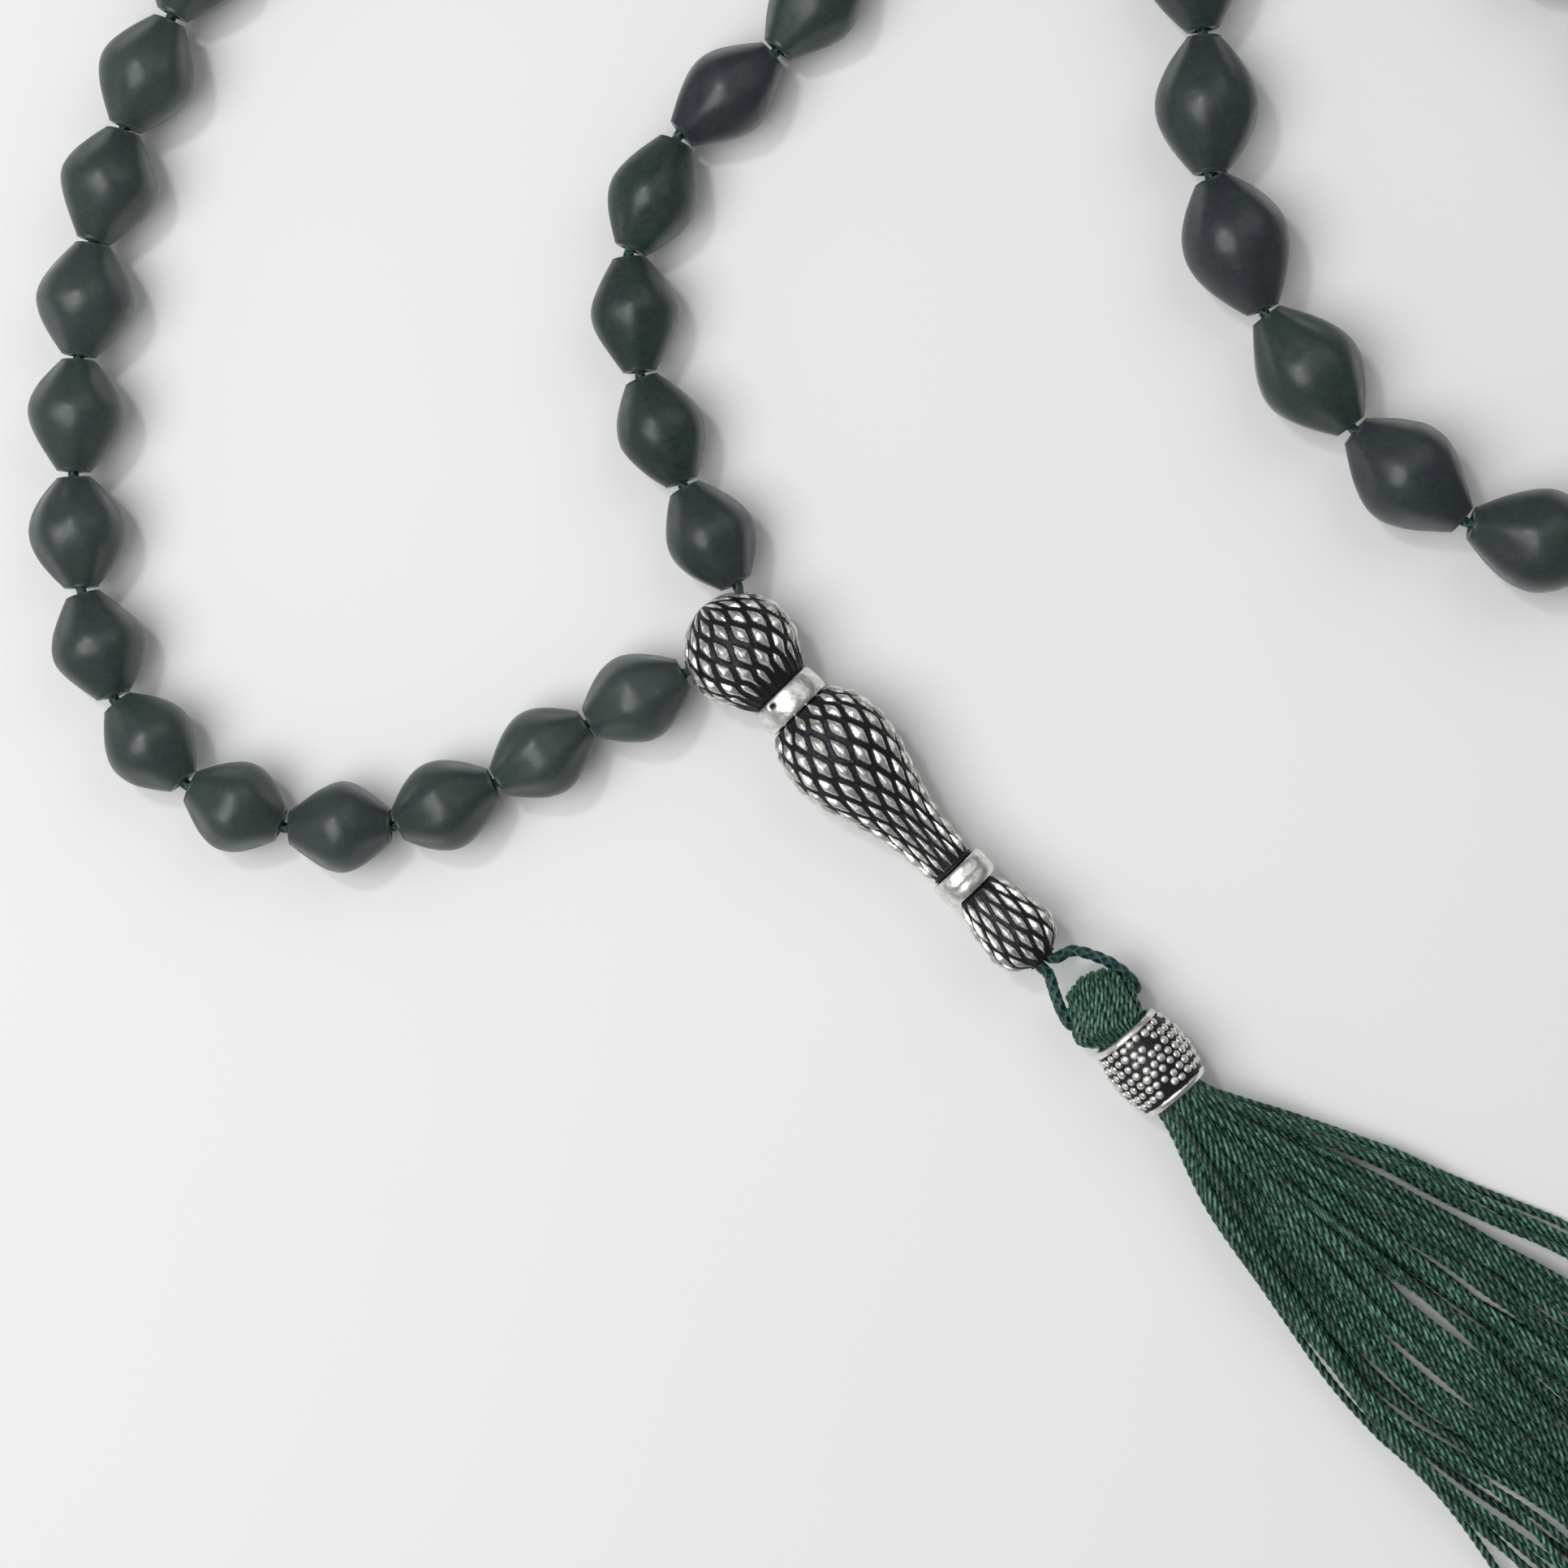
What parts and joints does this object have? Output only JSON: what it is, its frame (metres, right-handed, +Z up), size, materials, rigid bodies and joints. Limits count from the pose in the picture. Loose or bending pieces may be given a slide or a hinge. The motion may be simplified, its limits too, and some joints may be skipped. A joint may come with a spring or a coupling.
{
  "type": "misbaha prayer beads",
  "caption": "Loop of drilled barrel beads on a cord, gathered by a long cast silver leader bead, with a silver-sleeved thread tassel hung from its foot.",
  "frame": {"origin": "on the table plane, straight under the centre of the imame's round head", "axes": "+Z up from the table; the imame points 45.7 degrees from +X towards -Y; the strand's top side hole faces +Y"},
  "size_m": [0.1701, 0.1877, 0.0095],
  "materials": {
    "bead_stone": "waxy satin, hand-polished",
    "silver": "cast silver, oxidised in the recesses and polished on the high places",
    "cord": "braided cord",
    "thread": "twisted silky thread"
  },
  "bodies": {
    "imame": {"imame_casting": "silver", "upper_collar": "silver", "lower_collar": "silver", "core_cord": "cord"},
    "lower_left_strand": {"cord_lower_left": "cord"},
    "left_strand": {"cord_left_side": "cord"},
    "upper_left_strand": {"cord_upper_left": "cord"},
    "far_link": {"cord_far_link": "cord"},
    "far_loop": {"cord_far_loop": "cord"},
    "middle_strand": {"cord_middle": "cord"},
    "strand_beside_imame": {"cord_beside_imame": "cord"},
    "hanger": {"hanger_cord": "cord"},
    "tassel": {"tassel_neck": "thread"},
    "sleeve": {"tassel_sleeve": "silver"},
    "threads": {"tassel_threads": "thread"},
    "bead_01": {"bead_01": "bead_stone"},
    "bead_02": {"bead_02": "bead_stone"},
    "bead_03": {"bead_03": "bead_stone"},
    "bead_04": {"bead_04": "bead_stone"},
    "bead_05": {"bead_05": "bead_stone"},
    "bead_06": {"bead_06": "bead_stone"},
    "bead_07": {"bead_07": "bead_stone"},
    "bead_08": {"bead_08": "bead_stone"},
    "bead_09": {"bead_09": "bead_stone"},
    "bead_10": {"bead_10": "bead_stone"},
    "bead_11": {"bead_11": "bead_stone"},
    "bead_12": {"bead_12": "bead_stone"},
    "bead_13": {"bead_13": "bead_stone"},
    "bead_14": {"bead_14": "bead_stone"},
    "bead_15": {"bead_15": "bead_stone"},
    "bead_16": {"bead_16": "bead_stone"},
    "bead_17": {"bead_17": "bead_stone"},
    "bead_18": {"bead_18": "bead_stone"},
    "bead_19": {"bead_19": "bead_stone"},
    "bead_20": {"bead_20": "bead_stone"},
    "bead_21": {"bead_21": "bead_stone"},
    "bead_22": {"bead_22": "bead_stone"},
    "bead_23": {"bead_23": "bead_stone"},
    "bead_24": {"bead_24": "bead_stone"},
    "bead_25": {"bead_25": "bead_stone"},
    "bead_26": {"bead_26": "bead_stone"},
    "bead_27": {"bead_27": "bead_stone"},
    "bead_28": {"bead_28": "bead_stone"},
    "bead_29": {"bead_29": "bead_stone"},
    "bead_30": {"bead_30": "bead_stone"},
    "bead_31": {"bead_31": "bead_stone"},
    "bead_32": {"bead_32": "bead_stone"},
    "bead_33": {"bead_33": "bead_stone"},
    "bead_34": {"bead_34": "bead_stone"},
    "bead_35": {"bead_35": "bead_stone"},
    "bead_36": {"bead_36": "bead_stone"},
    "bead_37": {"bead_37": "bead_stone"},
    "bead_38": {"bead_38": "bead_stone"},
    "bead_39": {"bead_39": "bead_stone"},
    "bead_40": {"bead_40": "bead_stone"},
    "bead_41": {"bead_41": "bead_stone"},
    "bead_42": {"bead_42": "bead_stone"},
    "bead_43": {"bead_43": "bead_stone"},
    "bead_44": {"bead_44": "bead_stone"},
    "bead_45": {"bead_45": "bead_stone"}
  },
  "joints": [
    {"name": "hanger_swing", "type": "hinge", "parent": "imame", "child": "hanger", "pos_m": [0.02465, -0.02526, 0.00475], "axis": [0, 0, 1], "range_deg": [-20, 20]},
    {"name": "tassel_lift", "type": "hinge", "parent": "hanger", "child": "tassel", "pos_m": [0.0293, -0.02885, 0.00365], "axis": [-0.848, -0.5299, 0], "range_deg": [0, 60]},
    {"name": "sleeve_slide", "type": "slide", "parent": "tassel", "child": "sleeve", "axis": [0.6494, -0.7604, 0], "range_m": [0, 0.0008]},
    {"name": "threads_swing", "type": "hinge", "parent": "tassel", "child": "threads", "pos_m": [0.0361, -0.03688, 0.00365], "axis": [0, 0, 1], "range_deg": [-15, 15]},
    {"name": "loop_swing", "type": "hinge", "parent": "imame", "child": "lower_left_strand", "pos_m": [-0.00461, -0.00181, 0.0041], "axis": [0, 0, 1], "range_deg": [-15, 15]},
    {"name": "loop_sway", "type": "hinge", "parent": "lower_left_strand", "child": "left_strand", "pos_m": [-0.05418, 0.01431, 0.00394], "axis": [0, 0, 1], "range_deg": [-12, 12]},
    {"name": "sway_at_upper_left", "type": "hinge", "parent": "left_strand", "child": "upper_left_strand", "pos_m": [-0.0463, 0.05119, 0.00405], "axis": [0, 0, 1], "range_deg": [-12, 12]},
    {"name": "swing_at_far_link", "type": "hinge", "parent": "upper_left_strand", "child": "far_link", "pos_m": [-0.04181, 0.06028, 0.00407], "axis": [0, 0, 1], "range_deg": [-15, 15]},
    {"name": "swing_beside_imame", "type": "hinge", "parent": "imame", "child": "strand_beside_imame", "pos_m": [-0.00037, 0.00524, 0.0041], "axis": [0, 0, 1], "range_deg": [-15, 15]},
    {"name": "sway_at_middle", "type": "hinge", "parent": "strand_beside_imame", "child": "middle_strand", "pos_m": [-0.00478, 0.01341, 0.00369], "axis": [0, 0, 1], "range_deg": [-12, 12]},
    {"name": "sway_at_far_loop", "type": "hinge", "parent": "middle_strand", "child": "far_loop", "pos_m": [0.00273, 0.04856, 0.00376], "axis": [0, 0, 1], "range_deg": [-12, 12]},
    {"name": "turn_bead_01", "type": "hinge", "parent": "lower_left_strand", "child": "bead_01", "pos_m": [-0.00856, -0.00387, 0.00393], "axis": [-0.8871, -0.4599, -0.0381], "continuous": true},
    {"name": "turn_bead_02", "type": "hinge", "parent": "lower_left_strand", "child": "bead_02", "pos_m": [-0.01621, -0.0083, 0.00377], "axis": [-0.84, -0.5426, 0.0023], "continuous": true},
    {"name": "turn_bead_03", "type": "hinge", "parent": "lower_left_strand", "child": "bead_03", "pos_m": [-0.02402, -0.01245, 0.00379], "axis": [-0.9195, -0.3931, 0.0022], "continuous": true},
    {"name": "turn_bead_04", "type": "hinge", "parent": "lower_left_strand", "child": "bead_04", "pos_m": [-0.03259, -0.01428, 0.00381], "axis": [-0.9999, -0.0158, 0.0022], "continuous": true},
    {"name": "turn_bead_05", "type": "hinge", "parent": "lower_left_strand", "child": "bead_05", "pos_m": [-0.04105, -0.0126, 0.00383], "axis": [-0.9163, 0.4005, 0.0023], "continuous": true},
    {"name": "turn_bead_06", "type": "hinge", "parent": "lower_left_strand", "child": "bead_06", "pos_m": [-0.04797, -0.0074, 0.00385], "axis": [-0.6454, 0.7639, 0.0032], "continuous": true},
    {"name": "turn_bead_07", "type": "hinge", "parent": "lower_left_strand", "child": "bead_07", "pos_m": [-0.05221, 0.00045, 0.00389], "axis": [-0.2882, 0.9576, 0.0041], "continuous": true},
    {"name": "turn_bead_08", "type": "hinge", "parent": "lower_left_strand", "child": "bead_08", "pos_m": [-0.05386, 0.00958, 0.00392], "axis": [-0.0685, 0.9976, 0.004], "continuous": true},
    {"name": "turn_bead_09", "type": "hinge", "parent": "left_strand", "child": "bead_09", "pos_m": [-0.05397, 0.01904, 0.00396], "axis": [0.0457, 0.9989, 0.004], "continuous": true},
    {"name": "turn_bead_10", "type": "hinge", "parent": "left_strand", "child": "bead_10", "pos_m": [-0.05318, 0.02842, 0.004], "axis": [0.1224, 0.9925, 0.0031], "continuous": true},
    {"name": "turn_bead_11", "type": "hinge", "parent": "left_strand", "child": "bead_11", "pos_m": [-0.05135, 0.03765, 0.00402], "axis": [0.2642, 0.9645, 0.0021], "continuous": true},
    {"name": "turn_bead_12", "type": "hinge", "parent": "left_strand", "child": "bead_12", "pos_m": [-0.0482, 0.04671, 0.00404], "axis": [0.3897, 0.921, 0.0021], "continuous": true},
    {"name": "turn_bead_13", "type": "hinge", "parent": "upper_left_strand", "child": "bead_13", "pos_m": [-0.04406, 0.05573, 0.00406], "axis": [0.4434, 0.8963, 0.002], "continuous": true},
    {"name": "turn_bead_14", "type": "hinge", "parent": "far_link", "child": "bead_14", "pos_m": [-0.03837, 0.06442, 0.00408], "axis": [0.639, 0.7692, 0.0019], "continuous": true},
    {"name": "turn_bead_15", "type": "hinge", "parent": "far_loop", "child": "bead_15", "pos_m": [-0.03038, 0.07132, 0.0041], "axis": [0.8556, 0.5176, 0.0019], "continuous": true},
    {"name": "turn_bead_16", "type": "hinge", "parent": "far_loop", "child": "bead_16", "pos_m": [-0.02102, 0.07548, 0.00412], "axis": [0.9597, 0.281, 0.002], "continuous": true},
    {"name": "turn_bead_17", "type": "hinge", "parent": "far_loop", "child": "bead_17", "pos_m": [-0.0113, 0.07765, 0.00414], "axis": [0.9881, 0.1535, 0.002], "continuous": true},
    {"name": "turn_bead_18", "type": "hinge", "parent": "far_loop", "child": "bead_18", "pos_m": [-0.00142, 0.07897, 0.00416], "axis": [0.9936, 0.1129, 0.002], "continuous": true},
    {"name": "turn_bead_19", "type": "hinge", "parent": "far_loop", "child": "bead_19", "pos_m": [0.00859, 0.07983, 0.00418], "axis": [0.9983, 0.0577, 0.002], "continuous": true},
    {"name": "turn_bead_20", "type": "hinge", "parent": "far_loop", "child": "bead_20", "pos_m": [0.01878, 0.07979, 0.0042], "axis": [0.9979, -0.0645, 0.0019], "continuous": true},
    {"name": "turn_bead_21", "type": "hinge", "parent": "far_loop", "child": "bead_21", "pos_m": [0.02899, 0.07831, 0.00422], "axis": [0.9754, -0.2203, 0.0017], "continuous": true},
    {"name": "turn_bead_22", "type": "hinge", "parent": "far_loop", "child": "bead_22", "pos_m": [0.03896, 0.07522, 0.00424], "axis": [0.9292, -0.3696, 0.0017], "continuous": true},
    {"name": "turn_bead_23", "type": "hinge", "parent": "far_loop", "child": "bead_23", "pos_m": [0.04842, 0.07058, 0.00425], "axis": [0.861, -0.5086, 0.0017], "continuous": true},
    {"name": "turn_bead_24", "type": "hinge", "parent": "far_loop", "child": "bead_24", "pos_m": [0.05719, 0.06461, 0.00427], "axis": [0.7902, -0.6128, 0.0017], "continuous": true},
    {"name": "turn_bead_25", "type": "hinge", "parent": "far_loop", "child": "bead_25", "pos_m": [0.06533, 0.05768, 0.00429], "axis": [0.7307, -0.6827, 0.0017], "continuous": true},
    {"name": "turn_bead_26", "type": "hinge", "parent": "far_loop", "child": "bead_26", "pos_m": [0.07284, 0.0499, 0.00431], "axis": [0.6563, -0.7545, 0.0017], "continuous": true},
    {"name": "turn_bead_27", "type": "hinge", "parent": "far_loop", "child": "bead_27", "pos_m": [0.0794, 0.04106, 0.00433], "axis": [0.5346, -0.8451, 0.0016], "continuous": true},
    {"name": "turn_bead_28", "type": "hinge", "parent": "far_loop", "child": "bead_28", "pos_m": [0.08366, 0.03068, 0.00435], "axis": [0.2194, -0.9756, 0.0016], "continuous": true},
    {"name": "turn_bead_29", "type": "hinge", "parent": "far_loop", "child": "bead_29", "pos_m": [0.08286, 0.01941, 0.00436], "axis": [-0.3477, -0.9376, 0.0015], "continuous": true},
    {"name": "turn_bead_30", "type": "hinge", "parent": "far_loop", "child": "bead_30", "pos_m": [0.07555, 0.01062, 0.00438], "axis": [-0.8546, -0.5193, 0.0015], "continuous": true},
    {"name": "turn_bead_31", "type": "hinge", "parent": "far_loop", "child": "bead_31", "pos_m": [0.06441, 0.00894, 0.0044], "axis": [-0.9695, 0.2452, 0.0007], "continuous": true},
    {"name": "turn_bead_32", "type": "hinge", "parent": "far_loop", "child": "bead_32", "pos_m": [0.05397, 0.0142, 0.0044], "axis": [-0.7696, 0.6386, 0], "continuous": true},
    {"name": "turn_bead_33", "type": "hinge", "parent": "far_loop", "child": "bead_33", "pos_m": [0.04585, 0.02264, 0.0044], "axis": [-0.6079, 0.794, 0], "continuous": true},
    {"name": "turn_bead_34", "type": "hinge", "parent": "far_loop", "child": "bead_34", "pos_m": [0.04007, 0.03286, 0.00437], "axis": [-0.3686, 0.9296, -0.0047], "continuous": true},
    {"name": "turn_bead_35", "type": "hinge", "parent": "far_loop", "child": "bead_35", "pos_m": [0.03762, 0.04415, 0.00429], "axis": [-0.044, 0.999, -0.0098], "continuous": true},
    {"name": "turn_bead_36", "type": "hinge", "parent": "far_loop", "child": "bead_36", "pos_m": [0.0365, 0.0556, 0.00417], "axis": [-0.15, 0.9886, -0.0098], "continuous": true},
    {"name": "turn_bead_37", "type": "hinge", "parent": "far_loop", "child": "bead_37", "pos_m": [0.03097, 0.06499, 0.00406], "axis": [-0.7854, 0.6189, -0.0095], "continuous": true},
    {"name": "turn_bead_38", "type": "hinge", "parent": "far_loop", "child": "bead_38", "pos_m": [0.02072, 0.06715, 0.00396], "axis": [-0.9648, -0.263, -0.0081], "continuous": true},
    {"name": "turn_bead_39", "type": "hinge", "parent": "far_loop", "child": "bead_39", "pos_m": [0.01216, 0.06117, 0.00387], "axis": [-0.5574, -0.8302, -0.007], "continuous": true},
    {"name": "turn_bead_40", "type": "hinge", "parent": "far_loop", "child": "bead_40", "pos_m": [0.00595, 0.05264, 0.0038], "axis": [-0.6194, -0.7851, -0.0072], "continuous": true},
    {"name": "turn_bead_41", "type": "hinge", "parent": "middle_strand", "child": "bead_41", "pos_m": [-0.00124, 0.04512, 0.00373], "axis": [-0.756, -0.6546, -0.0071], "continuous": true},
    {"name": "turn_bead_42", "type": "hinge", "parent": "middle_strand", "child": "bead_42", "pos_m": [-0.00721, 0.03694, 0.00367], "axis": [-0.3871, -0.9221, -0.0028], "continuous": true},
    {"name": "turn_bead_43", "type": "hinge", "parent": "middle_strand", "child": "bead_43", "pos_m": [-0.00873, 0.02726, 0.00367], "axis": [0.0943, -0.9955, 0.0017], "continuous": true},
    {"name": "turn_bead_44", "type": "hinge", "parent": "middle_strand", "child": "bead_44", "pos_m": [-0.00652, 0.01787, 0.00368], "axis": [0.364, -0.9314, 0.0017], "continuous": true},
    {"name": "turn_bead_45", "type": "hinge", "parent": "strand_beside_imame", "child": "bead_45", "pos_m": [-0.00257, 0.00932, 0.0039], "axis": [0.4747, -0.879, 0.0439], "continuous": true}
  ],
  "couplings": [
    {"joint": "sway_at_upper_left", "follows": "loop_sway", "ratio": -1},
    {"joint": "swing_at_far_link", "follows": "loop_swing", "ratio": -1},
    {"joint": "swing_beside_imame", "follows": "loop_swing", "ratio": 1},
    {"joint": "sway_at_middle", "follows": "loop_sway", "ratio": 1},
    {"joint": "sway_at_far_loop", "follows": "loop_sway", "ratio": -1}
  ]
}
